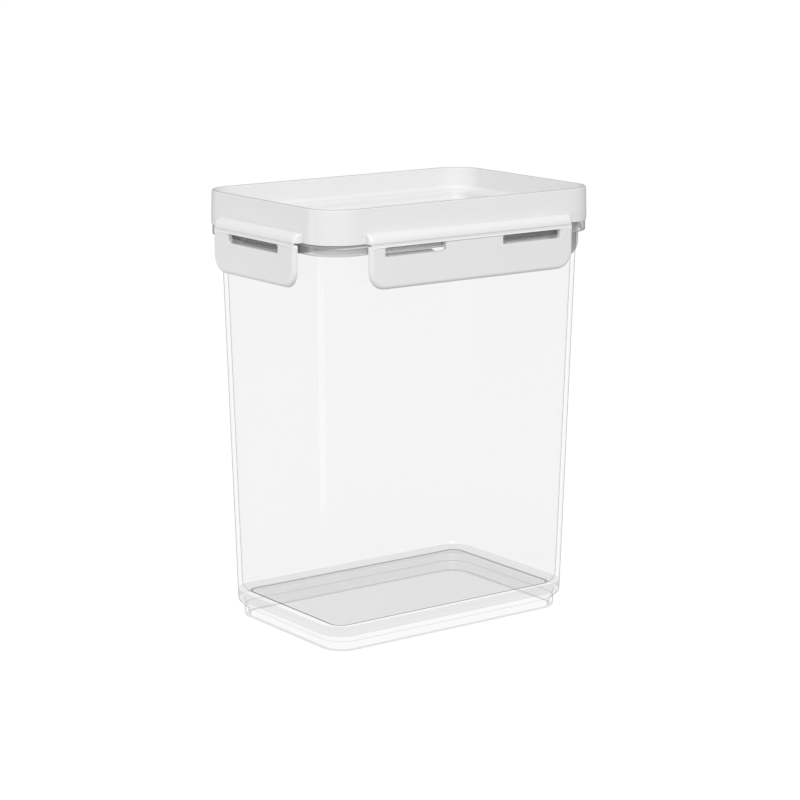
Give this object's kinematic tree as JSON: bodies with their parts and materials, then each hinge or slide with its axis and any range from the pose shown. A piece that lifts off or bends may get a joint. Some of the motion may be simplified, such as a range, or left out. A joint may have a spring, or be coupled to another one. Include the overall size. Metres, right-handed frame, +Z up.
{
  "type": "food canister",
  "caption": "Tall rectangular clear dry-food canister with a white stacking lid that seals and is held by hinged snap-down clips on every side.",
  "frame": {"origin": "on the resting plane, under the middle of the tub", "axes": "+Z up; +X along the long sides, towards the right clip; -Y towards the front clip"},
  "size_m": [0.1616, 0.1124, 0.2009],
  "materials": {
    "clear_plastic": "clear, polished",
    "white_plastic": "satin moulded",
    "hinge_plastic": "thin film hinge",
    "silicone": "soft, translucent"
  },
  "bodies": {
    "tub": {"tub": "clear_plastic"},
    "lid": {"lid": "white_plastic", "seal": "silicone", "front_hinge_web": "hinge_plastic", "back_hinge_web": "hinge_plastic", "left_hinge_web": "hinge_plastic", "right_hinge_web": "hinge_plastic"},
    "front_clip": {"front_clip": "white_plastic"},
    "back_clip": {"back_clip": "white_plastic"},
    "left_clip": {"left_clip": "white_plastic"},
    "right_clip": {"right_clip": "white_plastic"}
  },
  "joints": [
    {"name": "lid_lift", "type": "slide", "parent": "tub", "child": "lid", "axis": [0, 0, 1], "range_m": [0, 0.06]},
    {"name": "front_clip_hinge", "type": "hinge", "parent": "lid", "child": "front_clip", "pos_m": [0, -0.05625, 0.18505], "axis": [-1, 0, 0], "range_deg": [0, 130], "deforming": ["front_hinge_web"]},
    {"name": "back_clip_hinge", "type": "hinge", "parent": "lid", "child": "back_clip", "pos_m": [0, 0.05625, 0.18505], "axis": [1, 0, 0], "range_deg": [0, 130], "deforming": ["back_hinge_web"]},
    {"name": "left_clip_hinge", "type": "hinge", "parent": "lid", "child": "left_clip", "pos_m": [-0.08085, 0, 0.18505], "axis": [0, 1, 0], "range_deg": [0, 130], "deforming": ["left_hinge_web"]},
    {"name": "right_clip_hinge", "type": "hinge", "parent": "lid", "child": "right_clip", "pos_m": [0.08085, 0, 0.18505], "axis": [0, -1, 0], "range_deg": [0, 130], "deforming": ["right_hinge_web"]}
  ]
}
